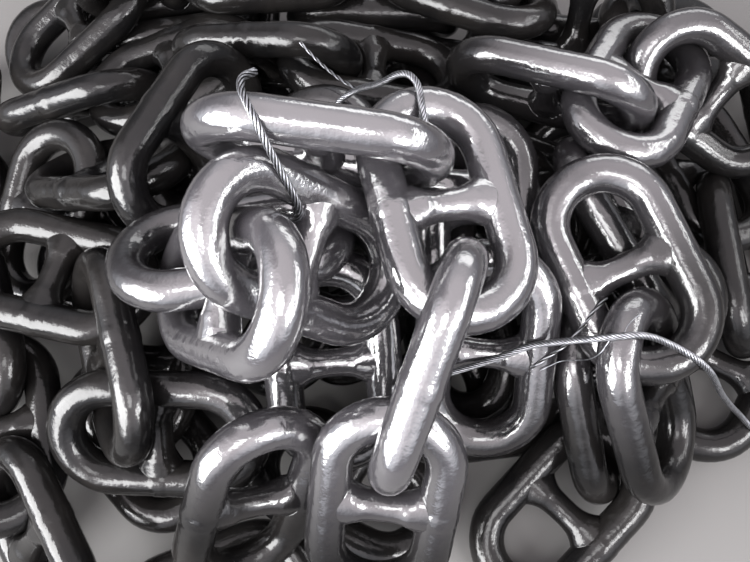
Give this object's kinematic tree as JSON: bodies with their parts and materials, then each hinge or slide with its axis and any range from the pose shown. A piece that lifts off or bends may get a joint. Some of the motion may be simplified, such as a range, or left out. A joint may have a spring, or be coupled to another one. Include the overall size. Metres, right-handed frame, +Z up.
{
  "type": "heap of stud-link anchor chain",
  "caption": "Loose heap of heavy stud-link anchor chain in black bitumen paint, interlinked and lying on its own weight, with bits of wire rope on top.",
  "frame": {"origin": "on the floor under the middle of the heap's box", "axes": "+Z up, +X along the heap's longest side, +Y away from the picture's camera"},
  "size_m": [1.9334, 1.3614, 0.6286],
  "materials": {
    "chain_paint": "gloss black bitumen paint over rolled steel bar, with drips and a faint brown bloom",
    "hidden_chain": "the same gloss black bitumen paint, in shade",
    "wire_rope": "dull galvanised wire"
  },
  "bodies": {
    "root": {"back_link_left": "chain_paint", "crown_link_foot": "chain_paint", "crown_link_left": "chain_paint", "crown_link_lower": "chain_paint", "crown_link_upper": "chain_paint", "front_link_left": "chain_paint", "hidden_links_core": "hidden_chain", "pair_link_left": "chain_paint", "pair_link_right": "chain_paint", "shoulder_link_left": "chain_paint", "shoulder_link_middle": "chain_paint", "shoulder_link_right": "chain_paint", "side_link_left": "chain_paint", "side_link_right": "chain_paint", "stud_link_01": "chain_paint", "stud_link_02": "chain_paint", "stud_link_03": "chain_paint", "stud_link_04": "chain_paint", "stud_link_05": "chain_paint", "stud_link_06": "chain_paint", "stud_link_07": "chain_paint", "stud_link_08": "chain_paint", "stud_link_09": "chain_paint", "stud_link_10": "chain_paint", "stud_link_11": "chain_paint", "stud_link_12": "chain_paint", "stud_link_13": "chain_paint", "stud_link_14": "chain_paint", "stud_link_15": "chain_paint", "stud_link_16": "chain_paint", "stud_link_17": "chain_paint", "stud_link_18": "chain_paint", "stud_link_19": "chain_paint", "stud_link_20": "chain_paint", "stud_link_21": "chain_paint", "stud_link_22": "chain_paint", "stud_link_23": "chain_paint", "stud_link_24": "chain_paint", "stud_link_25": "chain_paint", "stud_link_26": "chain_paint", "stud_link_27": "chain_paint", "stud_link_28": "chain_paint", "stud_link_29": "chain_paint", "stud_link_30": "chain_paint", "stud_link_31": "chain_paint", "stud_link_32": "chain_paint", "stud_link_33": "chain_paint", "stud_link_34": "chain_paint", "stud_link_35": "chain_paint", "stud_link_36": "chain_paint", "stud_link_37": "chain_paint", "stud_link_38": "chain_paint", "stud_link_39": "chain_paint", "stud_link_40": "chain_paint", "stud_link_41": "chain_paint", "stud_link_42": "chain_paint", "stud_link_43": "chain_paint", "wire_rope_left": "wire_rope", "wire_rope_right": "wire_rope", "wire_rope_top": "wire_rope"}
  },
  "joints": []
}
